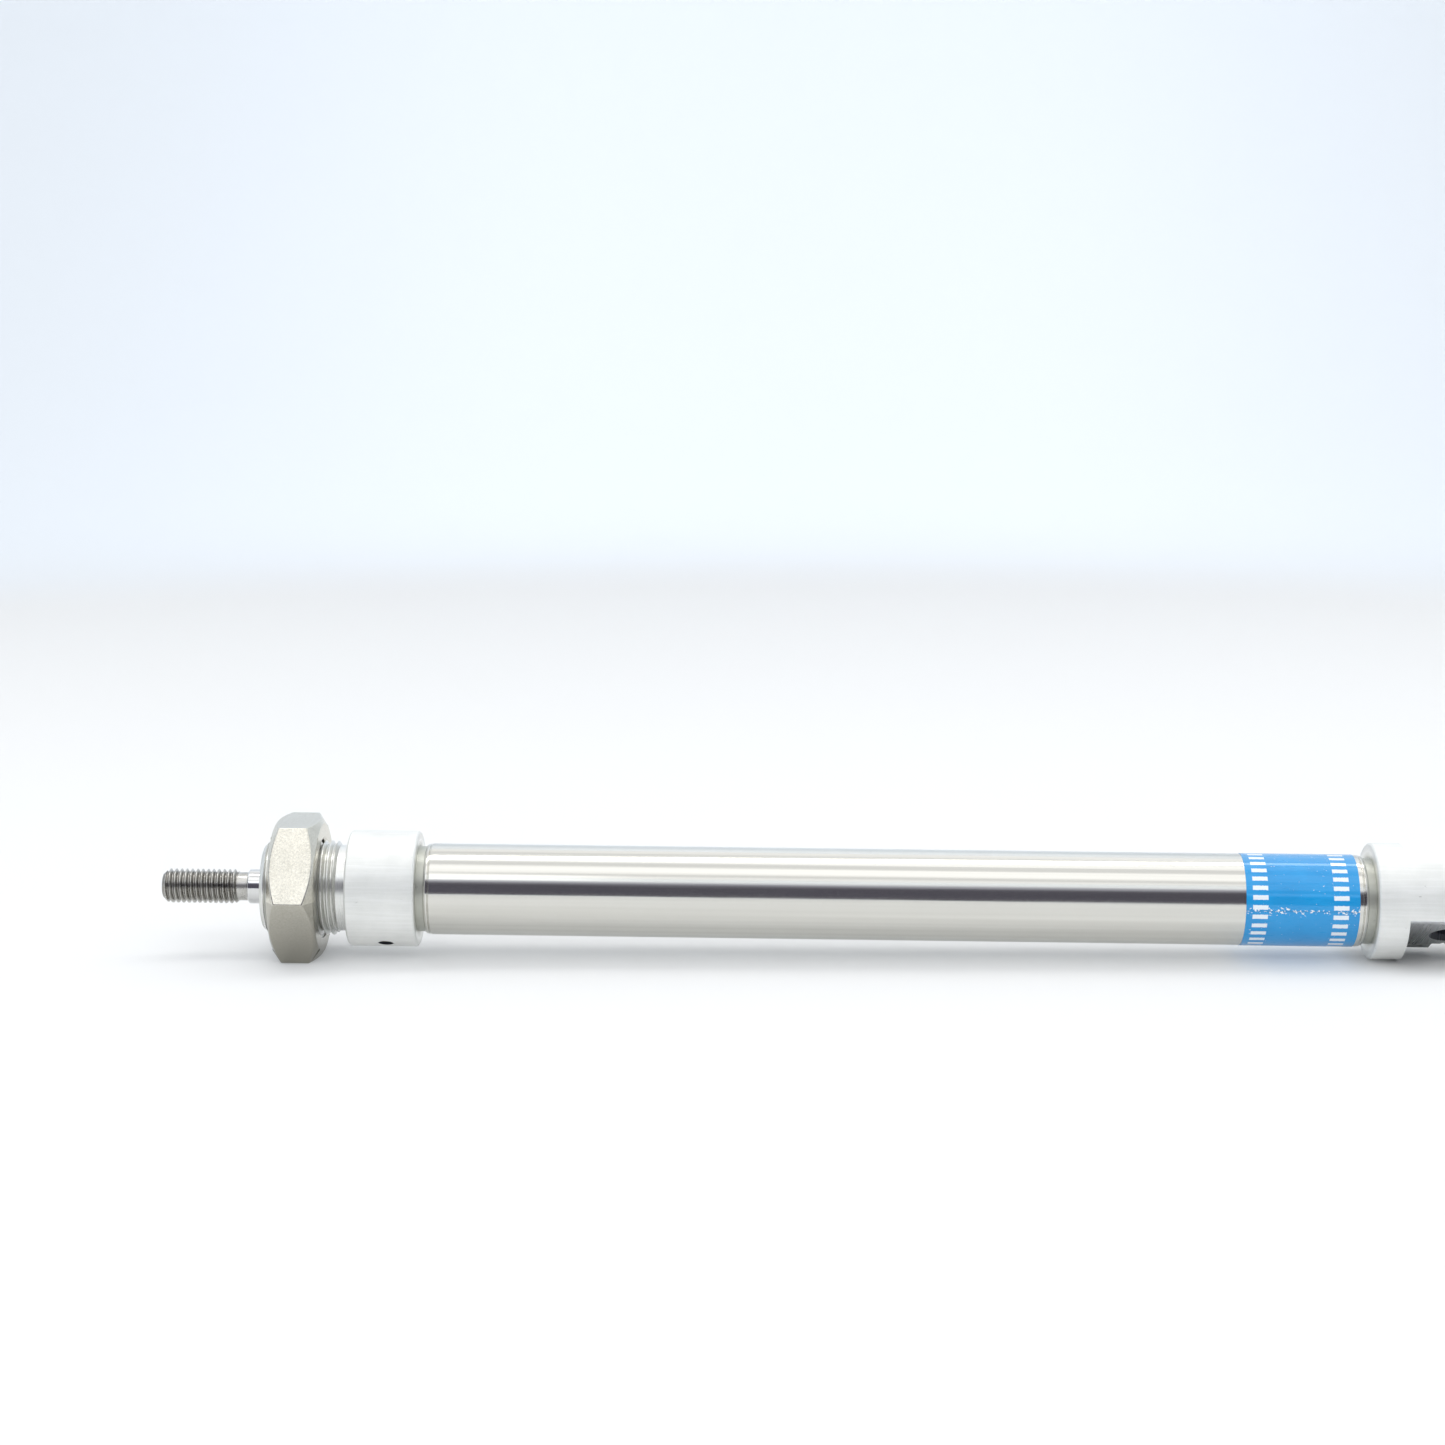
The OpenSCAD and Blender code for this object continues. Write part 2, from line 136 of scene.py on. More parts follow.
# Directions around the axis, in degrees above the horizontal on the camera's side
PIN_ELEVATION = -60
PORT_ELEVATION = -150
FRONT_SCREW_ELEVATION = -60
REAR_SCREW_ELEVATION = 120
LABEL_SEAM = -1  # the free end of the label


# ---------------------------------------------------------------- turned and threaded solids
def eased(profile, radius):
    """The profile of (radius, x) points with each corner between its ends replaced by a small arc."""
    steps = 3
    out = [profile[0]]
    for before, corner, after in zip(profile, profile[1:], profile[2:]):
        p, c, n = (np.array(v, float) for v in (before, corner, after))
        back, on = p - c, n - c
        reach = min(radius, 0.4 * np.linalg.norm(back), 0.4 * np.linalg.norm(on))
        a = c + back / np.linalg.norm(back) * reach
        b = c + on / np.linalg.norm(on) * reach
        for t in np.linspace(0, 1, steps + 1):
            out.append(tuple((1 - t) ** 2 * a + 2 * t * (1 - t) * c + t ** 2 * b))
    out.append(profile[-1])
    return out


def thread_run(x0, x1, pitch, root, crest, least=None, most=None, around=AROUND):
    """Rows of a right-handed thread between x0 and x1. least(x) and most(x) bound its radius, so that it runs out at
    its ends."""
    flank = abs(crest - root) * math.tan(math.radians(THREAD_FLANK)) / pitch
    flat = 1 / 8  # of the pitch, at the crest
    turn = [(0, crest), (flat, crest)]
    turn += [(flat + flank * s, crest + (root - crest) * s) for s in (1 / 3, 2 / 3, 1)]
    turn += [((1 + flat) / 2, root)]
    turn += [(1 - flank * s, crest + (root - crest) * s) for s in (1, 2 / 3, 1 / 3)]
    helix = pitch * np.arange(around + 1) / around
    rows = []
    for k in range(math.ceil((x1 - x0) / pitch) + 2):
        for phase, radius in turn:
            x = np.clip(x0 + (k - 1 + phase) * pitch + helix, x0, x1)
            r = np.full(around + 1, float(radius))
            if least:
                r = np.maximum(r, least(x))
            if most:
                r = np.minimum(r, most(x))
            rows.append((x, r))
    return rows


def added(name, data):
    """Puts a mesh, a light or a camera into the scene as an object."""
    made = bpy.data.objects.new(name, data)
    bpy.context.scene.collection.objects.link(made)
    return made


def added_from(name, bm):
    """Puts a finished bmesh into the scene as an object."""
    mesh = bpy.data.meshes.new(name)
    bm.to_mesh(mesh)
    bm.free()
    return added(name, mesh)


def turned(name, stations, closed=False, around=AROUND):
    """A solid turned about X. A station is a (radius, x) point or a row of a thread. The first and the last station
    are on the axis, unless the outline is closed in itself."""
    count, wide = len(stations), around + 1
    xs, rs = [], []
    for station in stations:
        if isinstance(station[0], np.ndarray):
            x, r = station
        else:
            r, x = (np.full(wide, float(v)) for v in station)
        xs.append(x)
        rs.append(r)
    xs, rs = np.array(xs), np.array(rs)
    angle = 2 * math.pi * np.arange(wide) / around
    points = np.stack([xs, rs * np.cos(angle), rs * np.sin(angle)], -1) * MM
    faces = []
    for i in range(count if closed else count - 1):
        here, there = i * wide, (i + 1) % count * wide
        faces += [(here + j, here + j + 1, there + j + 1, there + j) for j in range(around)]
    mesh = bpy.data.meshes.new(name)
    mesh.from_pydata(points.reshape(-1, 3).tolist(), [], faces)
    tidy(mesh)
    return added(name, mesh)


def tidy(mesh):
    """Welds the mesh, drops what collapsed and turns its faces outwards."""
    bm = bmesh.new()
    bm.from_mesh(mesh)
    bmesh.ops.remove_doubles(bm, verts=bm.verts, dist=WELD * MM)
    bmesh.ops.dissolve_degenerate(bm, edges=bm.edges, dist=WELD * MM / 4)
    bmesh.ops.recalc_face_normals(bm, faces=bm.faces)
    bm.to_mesh(mesh)
    bm.free()


def facing(elevation, x=0.0):
    """Turns +X of a piece outwards across the axis at station x, and its +Y along the axis."""
    e = math.radians(elevation)
    out, along = Vector((0, -math.cos(e), math.sin(e))), Vector((1, 0, 0))
    turn = Matrix((out, along, out.cross(along))).transposed().to_4x4()
    return Matrix.Translation((x * MM, 0, 0)) @ turn


def placed(piece, matrix):
    """The piece with its mesh moved, while the object itself stays at the origin."""
    piece.data.transform(matrix)
    return piece


def block(name, low, high):
    """A plain cutter box between two corners."""
    bm = bmesh.new()
    bmesh.ops.create_cube(bm, size=1)
    for v in bm.verts:
        v.co = Vector((low[i] if v.co[i] < 0 else high[i]) * MM for i in range(3))
    return added_from(name, bm)


def carve(piece, *cutters, operation="DIFFERENCE"):
    """Cuts the cutters out of the piece, or combines it with them another way, and removes them."""
    for cutter in cutters:
        cut = piece.modifiers.new("cut", "BOOLEAN")
        cut.operation = operation
        cut.solver = "MANIFOLD"
        cut.object = cutter
        graph = bpy.context.evaluated_depsgraph_get()
        made = bpy.data.meshes.new_from_object(piece.evaluated_get(graph))
        piece.modifiers.clear()
        piece.data = made
        bpy.data.objects.remove(cutter)


def soften(piece, width, chosen, least_angle, segments):
    """Bevels the edges that chosen(middle) picks, where the faces meet at more than least_angle degrees."""
    bm = bmesh.new()
    bm.from_mesh(piece.data)
    limit = math.radians(least_angle)
    picked = [
        e for e in bm.edges
        if len(e.link_faces) == 2 and e.calc_face_angle_signed(0) > limit
        and chosen((e.verts[0].co + e.verts[1].co) / 2 / MM)
    ]
    bmesh.ops.bevel(
        bm, geom=picked, offset=width * MM, offset_type="OFFSET", segments=segments, profile=0.5,
        affect="EDGES", clamp_overlap=True,
    )
    bm.to_mesh(piece.data)
    bm.free()


def dress(piece, body, node, material, sharp=35):
    """Shades the finished piece, and hangs it on its body in place of the CAD node."""
    piece.data.materials.clear()
    piece.data.materials.append(material)
    piece.data.shade_smooth()
    piece.data.set_sharp_from_angle(angle=math.radians(sharp))
    normals = piece.modifiers.new("normals", "WEIGHTED_NORMAL")
    normals.keep_sharp = True
    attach(piece, body)
    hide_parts(node)


# ---------------------------------------------------------------- materials
class Paint:
    """A Principled material, with short ways to add the nodes that vary it."""

    def __init__(self, name, **sockets):
        self.material = bpy.data.materials.new(name)
        self.material.use_nodes = True
        self.tree = self.material.node_tree
        self.surface = self.tree.nodes["Principled BSDF"]
        self.place = self.put("TexCoord").outputs["Object"]
        self.set(**sockets)

    def feed(self, socket, value):
        if isinstance(value, bpy.types.NodeSocket):
            self.tree.links.new(value, socket)
        else:
            socket.default_value = value

    def set(self, **sockets):
        for name, value in sockets.items():
            if isinstance(value, tuple):
                value = (*value, 1.0)
            self.feed(self.surface.inputs[name.replace("_", " ")], value)

    def put(self, kind, inputs=None, **options):
        node = self.tree.nodes.new("ShaderNode" + kind)
        for name, value in options.items():
            setattr(node, name, value)
        for key, value in (inputs or {}).items():
            self.feed(node.inputs[key], value)
        return node

    def math(self, operation, *values):
        return self.put("Math", dict(enumerate(values)), operation=operation).outputs[0]

    def times(self, a, b):
        return self.math("MULTIPLY", a, b)

    def plus(self, a, b):
        return self.math("ADD", a, b)

    def minus(self, a, b):
        return self.math("SUBTRACT", a, b)

    def most(self, a, b):
        return self.math("MAXIMUM", a, b)

    def distance(self, a, b=0.0):
        """How far two numbers are apart."""
        return self.math("ABSOLUTE", self.minus(a, b))

    def hypot(self, a, b):
        return self.math("SQRT", self.plus(self.times(a, a), self.times(b, b)))

    def noise(self, *stretch, detail=3.0, roughness=0.5):
        """Noise with about this many cells in a metre: one number for each axis, or one number for all three."""
        stretch = stretch * 3 if len(stretch) == 1 else stretch
        place = self.put("VectorMath", {0: self.place, 1: stretch}, operation="MULTIPLY").outputs[0]
        inputs = {"Vector": place, "Scale": 1.0, "Detail": detail, "Roughness": roughness}
        return self.put("TexNoise", inputs).outputs[0]

    def remap(self, value, low, high, to_low=0.0, to_high=1.0, smooth=False):
        """The value carried from one range to another, and held at that range's ends."""
        inputs = {0: value, 1: low, 2: high, 3: to_low, 4: to_high}
        kind = "SMOOTHSTEP" if smooth else "LINEAR"
        return self.put("MapRange", inputs, interpolation_type=kind).outputs[0]

    def blend(self, factor, low, high):
        """A colour between two others."""
        node = self.put("Mix", data_type="RGBA")
        for socket, value in zip((node.inputs[0], node.inputs[6], node.inputs[7]), (factor, low, high)):
            self.feed(socket, (*value, 1.0) if isinstance(value, tuple) else value)
        return node.outputs[2]

    def relief(self, height, depth, below=None):
        """Bump of the given depth in metres, on top of another bump."""
        inputs = {"Strength": 1.0, "Distance": depth, "Height": height}
        if below is not None:
            inputs["Normal"] = below
        return self.put("Bump", inputs).outputs[0]

    def axes(self):
        return self.put("SeparateXYZ", {0: self.place}).outputs

    def radius(self):
        """The distance from the cylinder's axis."""
        _, y, z = self.axes()
        return self.hypot(y, z)

    def across(self, elevation):
        """The distances from the axis along an elevation and at a right angle to it."""
        _, y, z = self.axes()
        e = math.radians(elevation)
        along = self.plus(self.times(y, -math.cos(e)), self.times(z, math.sin(e)))
        beside = self.plus(self.times(y, math.sin(e)), self.times(z, math.cos(e)))
        return along, beside

    def bored(self, station, elevation, radius, start):
        """1 near a line that crosses the axis at a station, from a distance out along that line."""
        soft = 0.08 * MM
        along, beside = self.across(elevation)
        off = self.hypot(self.minus(self.axes()[0], station), beside)
        near = self.remap(off, radius - soft / 2, radius + soft / 2, 1.0, 0.0)
        return self.times(near, self.math("GREATER_THAN", along, start))

    def between(self, value, low, high, soft):
        """1 where the value is between two others, with soft edges."""
        middle, half = (low + high) / 2, (high - low) / 2
        return self.remap(self.distance(value, middle), half - soft / 2, half + soft / 2, 1.0, 0.0)

    def mix(self, factor, low, high):
        """A number between two others."""
        return self.put("Mix", {0: factor, 2: low, 3: high}, data_type="FLOAT").outputs[0]

    def elevation(self):
        """The direction around the axis, in radians above the horizontal on the camera's side."""
        _, y, z = self.axes()
        return self.math("ARCTAN2", z, self.times(y, -1.0))


def turned_metal(name, colour, shade, rough, grain=1.0, marks=2500.0, sparkle=0.0, underside_shade=1.0):
    """Metal from a lathe: fine marks around the axis, soft stains and small nicks. sparkle is the depth of a coarse
    grit in metres, and a last argument below 1 paints shade on the lower side, darker towards the bottom."""
    paint = Paint(name, Metallic=1.0)
    rings = paint.noise(marks, marks / 60, marks / 60, detail=4.0, roughness=0.65)
    stain = paint.noise(90, detail=5.0, roughness=0.6)
    fine = paint.noise(4200, detail=2.0)
    nicks = paint.remap(paint.noise(420, 700, 700, detail=6.0, roughness=0.7), 0.70, 0.74)
    tone = paint.blend(paint.remap(stain, 0.35, 0.7), colour, shade)
    dull = tuple(0.45 * c for c in shade)
    tone = paint.blend(paint.times(nicks, 0.7), tone, dull)
    if sparkle:
        grit = paint.remap(paint.noise(2300, detail=3.0, roughness=0.7), 0.36, 0.64)
        tone = paint.blend(grit, paint.blend(0.22, tone, dull), paint.blend(0.25, tone, (0.95, 0.93, 0.88)))
    # Painted shade: the lower side is darkened towards the bottom.
    if underside_shade < 1:
        below = paint.remap(paint.elevation(), math.radians(-60), 0.0, 1.0, 0.55)
        below = paint.times(below, paint.math("LESS_THAN", paint.elevation(), 0.0))
        tone = paint.blend(below, tone, tuple(underside_shade * c for c in shade))
    paint.set(Base_Color=tone)
    wear = paint.plus(paint.remap(stain, 0.3, 0.7, *rough), paint.times(nicks, 0.15))
    paint.set(Roughness=paint.plus(wear, paint.remap(rings, 0.3, 0.7, -0.03, 0.03)))
    bump = paint.relief(rings, 4e-6 * grain)
    bump = paint.relief(fine, 3e-6 * grain + sparkle, bump)
    bump = paint.relief(nicks, -2e-5, bump)
    paint.set(Normal=bump)
    return paint.material


def cap_painted_shade(paint, x, r):
    """Painted shade: a little in the roots of both threads, and more in the gaps beside the tube's ends."""
    threaded = paint.plus(paint.remap(x, (RELIEF_X - 0.7) * MM, (RELIEF_X - 0.9) * MM),
                          paint.remap(x, (REAR_THREAD_X - 0.1) * MM, (REAR_THREAD_X + 0.1) * MM))
    roots = paint.times(paint.remap(r, (THREAD_ROOT_R + 0.07) * MM, (THREAD_R - 0.25) * MM, 1.0, 0.0), threaded)
    over, soft = 0.1 * MM, 0.2 * MM
    necks = paint.most(
        paint.between(x, FRONT_FACE_X * MM - over, (FRONT_FACE_X + NECK_LEN) * MM + over, soft),
        paint.between(x, (REAR_FACE_X - NECK_LEN) * MM - over, REAR_FACE_X * MM + over, soft))
    gaps = paint.times(necks, paint.remap(r, (NECK_R + 0.25) * MM, (NECK_R + 1.55) * MM, 1.0, 0.0))
    return paint.most(paint.times(roots, 0.35), gaps)


def cap_hole_shade(paint):
    """The walls of the pin hole, with its countersinks, and of both cushion screw holes, painted near black as deep
    shade.
    """
    whole, one_wall = -20 * MM, 4 * MM  # where a hole starts: beyond the far side, or just outside the axis
    holes = paint.bored(PIN_X * MM, PIN_ELEVATION, (PIN_R + PIN_SINK - 0.08) * MM, whole)
    for station, elevation in ((FRONT_SCREW_X, FRONT_SCREW_ELEVATION), (REAR_SCREW_X, REAR_SCREW_ELEVATION)):
        holes = paint.most(holes, paint.bored(station * MM, elevation, (SCREW_R + 0.06) * MM, one_wall))
    return holes


def cap_aluminium():
    """Aluminium cap: a satin body, brighter turned necks, mirror-milled flats on the eye with a painted reflection,
    and painted shade in its corners and holes.
    """
    paint = Paint("cap_aluminium", Coat_Roughness=0.16)
    x, r = paint.axes()[0], paint.radius()
    rings = paint.noise(2200, 30, 30, detail=4.0, roughness=0.65)
    satin = paint.noise(3600, detail=3.0, roughness=0.6)
    streaks = paint.noise(60, 1500, 1500, detail=4.0, roughness=0.6)
    stain = paint.noise(80, detail=5.0, roughness=0.6)
    nicks = paint.remap(paint.noise(500, 900, 900, detail=5.0, roughness=0.7), 0.675, 0.715)
    body = paint.remap(r, (THREAD_R + 0.6) * MM, (CAP_R - 0.9) * MM)
    painted_shade, holes = cap_painted_shade(paint, x, r), cap_hole_shade(paint)
    along, beside = paint.across(PIN_ELEVATION)
    near, flat_reach = 0.07, 7.5  # how near a flat counts as on it, and half the flat's own width
    flats = paint.between(paint.distance(along), (FLAT_HALF - near) * MM, (FLAT_HALF + near) * MM, 0.04 * MM)
    flats = paint.times(flats, paint.remap(x, (FLAT_X - 0.1) * MM, FLAT_X * MM))

    tone = paint.blend(paint.remap(stain, 0.3, 0.7), (0.81, 0.81, 0.78), (0.69, 0.695, 0.67))
    tone = paint.blend(paint.times(paint.remap(streaks, 0.45, 0.75), 0.45), tone, (0.88, 0.88, 0.87))
    # Painted shade in the thread roots and in the gaps beside the tube's ends.
    tone = paint.blend(painted_shade, tone, (0.50, 0.505, 0.45))
    tone = paint.blend(paint.times(nicks, 0.55), tone, (0.30, 0.30, 0.29))
    # Painted reflection of the shaded floor: the flats are dark at the bottom and light at the top.
    shade = paint.remap(beside, -flat_reach * MM, flat_reach * MM)
    tone = paint.blend(flats, tone, paint.blend(shade, (0.20, 0.215, 0.205), (0.92, 0.93, 0.95)))
    # Painted shade: the holes' walls are near black.
    paint.set(Base_Color=paint.blend(holes, tone, (0.020, 0.022, 0.030)))

    bare = paint.mix(flats, paint.mix(body, 0.85, 0.45), 1.0)
    paint.set(Metallic=paint.times(bare, paint.minus(1.0, holes)), Coat_Weight=paint.mix(holes, 0.22, 0.05))
    rough = paint.mix(body, paint.remap(rings, 0.3, 0.7, 0.24, 0.34), paint.remap(satin, 0.3, 0.7, 0.48, 0.62))
    paint.set(Roughness=paint.most(rough, paint.times(painted_shade, 0.42)))
    bump = None
    for height, depth in ((rings, 3e-6), (satin, 6e-6), (streaks, 2e-6)):
        bump = paint.relief(paint.mix(flats, height, 0.5), depth, bump)
    paint.set(Normal=paint.relief(paint.mix(flats, nicks, 0.0), -2e-5, bump))
    return paint.material


def tube_steel():
    """Polished stainless tube, with streaks along its length."""
    paint = Paint("polished_stainless", Metallic=1.0)
    streaks = paint.noise(25, 5200, 5200, detail=4.0, roughness=0.6)
    bands = paint.noise(3, 650, 650, detail=3.0, roughness=0.5)
    pits = paint.remap(paint.noise(900, 2200, 2200, detail=3.0, roughness=0.6), 0.68, 0.75)
    tone = paint.blend(paint.remap(bands, 0.3, 0.7), (0.64, 0.63, 0.585), (0.725, 0.715, 0.67))
    paint.set(Base_Color=paint.blend(paint.times(pits, 0.25), tone, (0.8, 0.8, 0.8)))
    paint.set(Roughness=paint.remap(streaks, 0.3, 0.7, 0.10, 0.17))
    bump = paint.relief(bands, 1.2e-5, paint.relief(streaks, 2e-6))
    paint.set(Normal=paint.relief(pits, -3e-6, bump))
    return paint.material


def rod_steel():
    """Hard-chromed rod, with a duller machined thread at its front end and painted shade in the thread's roots."""
    paint = Paint("rod_chrome", Metallic=1.0)
    x = paint.axes()[0]
    machined = paint.remap(x, (ROD_SHOULDER_X - 0.2) * MM, (ROD_SHOULDER_X + 0.1) * MM, 1.0, 0.0)
    threaded = paint.remap(x, ROD_UNDERCUT_X * MM, (ROD_UNDERCUT_X - 0.3) * MM)
    roots = paint.remap(paint.radius(), (ROD_ROOT_R + 0.05) * MM, (ROD_R - 0.15) * MM, 0.6, 0.0)
    streaks = paint.noise(5000, 60, 60, detail=3.0)
    stain = paint.noise(260, detail=5.0, roughness=0.65)
    dull = paint.blend(paint.remap(stain, 0.35, 0.65), (0.46, 0.45, 0.42), (0.60, 0.59, 0.56))
    # Painted shade in the thread's roots.
    dull = paint.blend(paint.times(roots, threaded), dull, (0.10, 0.09, 0.075))
    paint.set(Base_Color=paint.blend(machined, (0.70, 0.70, 0.69), dull))
    polished = paint.remap(streaks, 0.3, 0.7, 0.07, 0.12)
    worn = paint.remap(stain, 0.3, 0.7, 0.22, 0.36)
    paint.set(Roughness=paint.mix(machined, polished, worn))
    paint.set(Normal=paint.relief(stain, 6e-6, paint.relief(streaks, 1e-6)))
    return paint.material


def label_film():
    """Blue film with two rows of plain white bars, rubbed through along its overlap."""
    bars, first_bar = 30, 10.2  # the bars around the tube, and how far the row is turned, in bars
    columns = ((1.5, 5.0), (20.0, 23.5))  # millimetres from the label's front edge
    paint = Paint("label_film", Coat_Weight=0.9, Coat_Roughness=0.045, IOR=1.35)
    x, angle = paint.axes()[0], paint.elevation()

    ragged = paint.times(paint.minus(paint.noise(3000, detail=2.0), 0.5), 0.12)
    place = paint.math("FRACT", paint.plus(paint.times(angle, bars / (2 * math.pi)), first_bar))
    bar = paint.remap(paint.plus(paint.distance(place, 0.5), ragged), 0.21, 0.25, 1.0, 0.0)
    column = 0.0
    for left, right in columns:
        low, high = (LABEL_X[0] + left) * MM, (LABEL_X[0] + right) * MM
        column = paint.most(column, paint.between(x, low, high, 0.1 * MM))
    broad = paint.noise(120, detail=4.0)
    tone = paint.blend(paint.remap(broad, 0.3, 0.7), (0.002, 0.245, 0.565), (0.005, 0.280, 0.62))
    tone = paint.blend(paint.times(bar, column), tone, (0.72, 0.76, 0.80))

    from_seam = paint.distance(angle, math.radians(LABEL_SEAM))
    flecks = paint.noise(1500, 1900, 1900, detail=4.0, roughness=0.6)
    rubbed = paint.times(paint.remap(from_seam, 0.0, 0.13, 1.0, 0.0), 0.165)
    worn = paint.remap(paint.plus(flecks, rubbed), 0.69, 0.71)
    tone = paint.blend(worn, tone, (0.80, 0.83, 0.84))
    crack = paint.remap(from_seam, 0.004, 0.009, 1.0, 0.0)
    paint.set(Base_Color=paint.blend(paint.times(crack, 0.45), tone, (0.02, 0.10, 0.22)))

    scratches = paint.noise(220, 2600, 2600, detail=4.0, roughness=0.7)
    paint.set(Roughness=paint.remap(scratches, 0.3, 0.75, 0.24, 0.42))
    bump = paint.relief(paint.noise(150, 220, 220, detail=2.0), 3e-5, paint.relief(scratches, 3e-6))
    paint.set(Normal=paint.relief(worn, -2.5e-5, bump))
    return paint.material


def moulded(name, colour, shade, rough, grain=900.0):
    """Rubber, polymer or another moulded surface: a fine grain over soft mottling."""
    paint = Paint(name)
    mottle = paint.noise(grain / 8, detail=4.0)
    texture = paint.noise(grain, detail=3.0, roughness=0.6)
    paint.set(Base_Color=paint.blend(paint.remap(mottle, 0.3, 0.7), colour, shade))
    paint.set(Roughness=paint.remap(texture, 0.3, 0.7, *rough), Normal=paint.relief(texture, 8e-6))
    return paint.material


cap_metal = cap_aluminium()
# The nut's lower side gets painted shade.
nut_metal = turned_metal("nut_nickel", (0.69, 0.66, 0.57), (0.63, 0.605, 0.52), (0.19, 0.25), grain=2.0, marks=1400.0,
                         sparkle=1.3e-5, underside_shade=0.5)
brass = turned_metal("screw_brass", (0.27, 0.20, 0.12), (0.17, 0.13, 0.09), (0.28, 0.42))
bronze = turned_metal("bush_bronze", (0.48, 0.30, 0.15), (0.36, 0.22, 0.11), (0.35, 0.5), marks=1800.0)
alloy = turned_metal("piston_alloy", (0.80, 0.81, 0.82), (0.70, 0.71, 0.73), (0.28, 0.4))
spear_metal = turned_metal("spear_alloy", (0.66, 0.69, 0.74), (0.58, 0.61, 0.66), (0.22, 0.34))
rubber = moulded("seal_rubber", (0.012, 0.012, 0.013), (0.03, 0.03, 0.03), (0.45, 0.62))
pad = moulded("pad_polymer", (0.42, 0.36, 0.19), (0.34, 0.29, 0.15), (0.4, 0.55))
ring_polymer = moulded("guide_polymer", (0.74, 0.70, 0.60), (0.66, 0.61, 0.50), (0.35, 0.5))
ferrite = moulded("magnet_ferrite", (0.05, 0.05, 0.055), (0.09, 0.09, 0.095), (0.5, 0.7), grain=2500.0)

# ---------------------------------------------------------------- caps
# Outlines of (radius, distance from the cap's inner face)
SPIGOT_OUTSIDE = [
    # the neck beside the tube's end
    (NECK_R, 0), (NECK_R, NECK_LEN), (SPIGOT_R, NECK_LEN + 0.05),
    # the groove that the tube is rolled into
    (SPIGOT_R, CRIMP - 0.4), (SPIGOT_R - CRIMP_DEPTH, CRIMP - 0.15),
    (SPIGOT_R - CRIMP_DEPTH, CRIMP + 0.15), (SPIGOT_R, CRIMP + 0.4),
    # the O-ring's groove
    (SPIGOT_R, ORING_GROOVE[0]), (ORING_GROOVE_R, ORING_GROOVE[0]),
    (ORING_GROOVE_R, ORING_GROOVE[1]), (SPIGOT_R, ORING_GROOVE[1]),
    # the chamfered end
    (SPIGOT_R, SPIGOT_LEN - CAP_EDGE), (SPIGOT_R - CAP_EDGE, SPIGOT_LEN),
]
SPIGOT_INSIDE = [
    # the end pad's recess
    (PAD_R, SPIGOT_LEN), (PAD_R, SPIGOT_LEN - PAD_RECESS), (POCKET_R, SPIGOT_LEN - PAD_RECESS),
    # the cushion seal's groove
    (POCKET_R, CUSHION_GROOVE[1]), (CUSHION_GROOVE_R, CUSHION_GROOVE[1]),
    (CUSHION_GROOVE_R, CUSHION_GROOVE[0]), (POCKET_R, CUSHION_GROOVE[0]),
]
CORNER_R = 0.12  # of a turned cap's inner corners


def at_face(profile, face_x, direction):
    """A spigot's profile as (radius, x) points. The direction is 1 where it reaches towards the rear, or else -1."""
    return [(r, face_x + direction * d) for r, d in profile]


def port_cutter(x):
    """The threaded port, its countersunk mouth and the passage below it, at the distances d from the axis."""
    start, mouth, end = 4.4, CAP_R - 0.6, CAP_R + 1  # inside the pocket, at the countersink's foot, and outside
    thread_start, run_out = PORT_FLOOR_R + 0.6, PORT_FLOOR_R + 0.7
    around = 96

    def least(d):
        return PORT_CORE_R + (d - mouth)

    def most(d):
        return np.maximum(PORT_CORE_R + np.maximum(0, d - run_out), least(d))

    thread = thread_run(thread_start, end, PORT_PITCH, PORT_CORE_R, PORT_CREST_R, least, most, around)
    outline = [(0, start), (PASSAGE_R, start), (PASSAGE_R, PORT_FLOOR_R - 0.5), (PORT_CORE_R, PORT_FLOOR_R)]
    cutter = turned("port", outline + thread + [(0, end)], around=around)
    return placed(cutter, facing(PORT_ELEVATION, x))


def screw_hole_cutter(x, elevation):
    """The hole of a cushion screw and its needle seat, with a small broken edge."""
    start, cone, edge, over = 4.6, 0.2, 0.35, 1.0
    outline = [
        (0, start), (NEEDLE_SEAT_R, start), (NEEDLE_SEAT_R, SCREW_FLOOR_R), (SCREW_R, SCREW_FLOOR_R + cone),
        (SCREW_R, CAP_R - edge), (SCREW_R + edge + over, CAP_R + over), (0, CAP_R + over),
    ]
    return placed(turned("screw_hole", outline, around=64), facing(elevation, x))


def bypass_cutter(x0, x1, elevation):
    """The drilling that leads from the spigot's end to the cushion screw."""
    e = math.radians(elevation)
    drill = turned("bypass", [(0, x0), (BYPASS_R, x0), (BYPASS_R, x1), (0, x1)], around=24)
    return placed(drill, Matrix.Translation((0, -BYPASS_OUT * math.cos(e) * MM, BYPASS_OUT * math.sin(e) * MM)))


